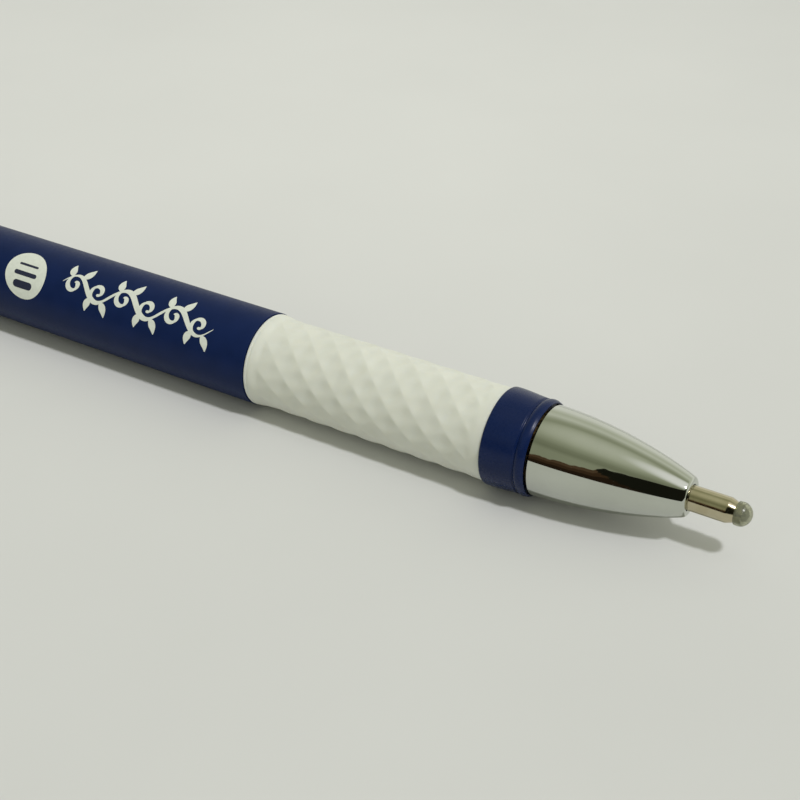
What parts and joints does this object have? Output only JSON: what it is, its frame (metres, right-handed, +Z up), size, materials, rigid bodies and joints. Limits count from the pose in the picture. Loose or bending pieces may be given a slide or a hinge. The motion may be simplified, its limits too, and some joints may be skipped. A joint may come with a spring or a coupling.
{
  "type": "retractable lettering pen",
  "caption": "Retractable lettering pen with a thick ball tip, chrome bullet nose, navy collar and barrel, white knurled grip sleeve, chrome clip and push button.",
  "frame": {"origin": "middle of the surface that the pen lies on: the centre of its box, at its lowest level", "axes": "+X along the pen's axis towards the writing tip, +Z up from the table, +Y towards the side that the clip leans to"},
  "size_m": [0.1396, 0.0134, 0.01],
  "materials": {
    "nose_chrome": "bright chrome plating, mirror",
    "tail_chrome": "bright chrome plating, mirror",
    "clip_chrome": "bright chrome plating on stamped spring steel",
    "button_chrome": "bright chrome plating, mirror",
    "collar_navy": "moulded plastic, semi-gloss",
    "barrel_navy": "satin soft-touch coat",
    "grip_white": "matt moulded elastomer, diamond knurl",
    "brass": "turned",
    "cam_plastic": "moulded acetal",
    "spring_steel": "drawn wire",
    "refill_plastic": "moulded, natural",
    "refill_tube": "extruded, translucent",
    "ink": "wet ink",
    "grease": "clear grease",
    "tip_nickel": "turned nickel silver, bright",
    "ball_steel": "polished carbide",
    "seal_wax": "translucent sealing drop"
  },
  "bodies": {
    "case": {"barrel": "barrel_navy", "grip_sleeve": "grip_white", "front_bush": "brass", "tail_bush": "brass", "tail_ring": "tail_chrome", "cam_sleeve": "cam_plastic", "return_spring": "spring_steel"},
    "button": {"push_button": "button_chrome", "cam_plunger": "cam_plastic"},
    "refill": {"refill_cap": "refill_plastic", "refill_tube": "refill_tube", "ink_column": "ink", "grease_follower": "grease", "tip_holder": "refill_plastic", "tip_body": "tip_nickel", "writing_ball": "ball_steel", "sealing_drop": "seal_wax"},
    "rotor": {"rotor": "cam_plastic"},
    "clip": {"clip": "clip_chrome"},
    "collar": {"collar_ring": "collar_navy"},
    "nose": {"nose_cone": "nose_chrome"}
  },
  "joints": [
    {"name": "button_slide", "type": "slide", "parent": "case", "child": "button", "axis": [1, 0, 0], "range_m": [-0.0064, 0.0012]},
    {"name": "refill_slide", "type": "slide", "parent": "case", "child": "refill", "axis": [1, 0, 0], "range_m": [-0.0064, 0.0012], "deforming": ["return_spring"]},
    {"name": "rotor_index", "type": "hinge", "parent": "refill", "child": "rotor", "pos_m": [-0.0333, -0.00172, 0.00498], "axis": [1, 0, 0], "continuous": true},
    {"name": "clip_flex", "type": "hinge", "parent": "case", "child": "clip", "pos_m": [-0.0601, 0.00261, 0.00342], "axis": [0, 0.3408, 0.9401], "range_deg": [0, 4], "stiffness_Nm_per_rad": 2},
    {"name": "collar_slide", "type": "slide", "parent": "case", "child": "collar", "axis": [1, 0, 0], "range_m": [0, 0.004]},
    {"name": "nose_unscrew", "type": "hinge", "parent": "collar", "child": "nose", "pos_m": [0.05, -0.00172, 0.00498], "axis": [1, 0, 0], "range_deg": [0, 1440]}
  ],
  "couplings": [
    {"joint": "refill_slide", "follows": "button_slide", "ratio": 1},
    {"joint": "nose_unscrew", "follows": "collar_slide", "rad_per_m": 6283.2}
  ]
}
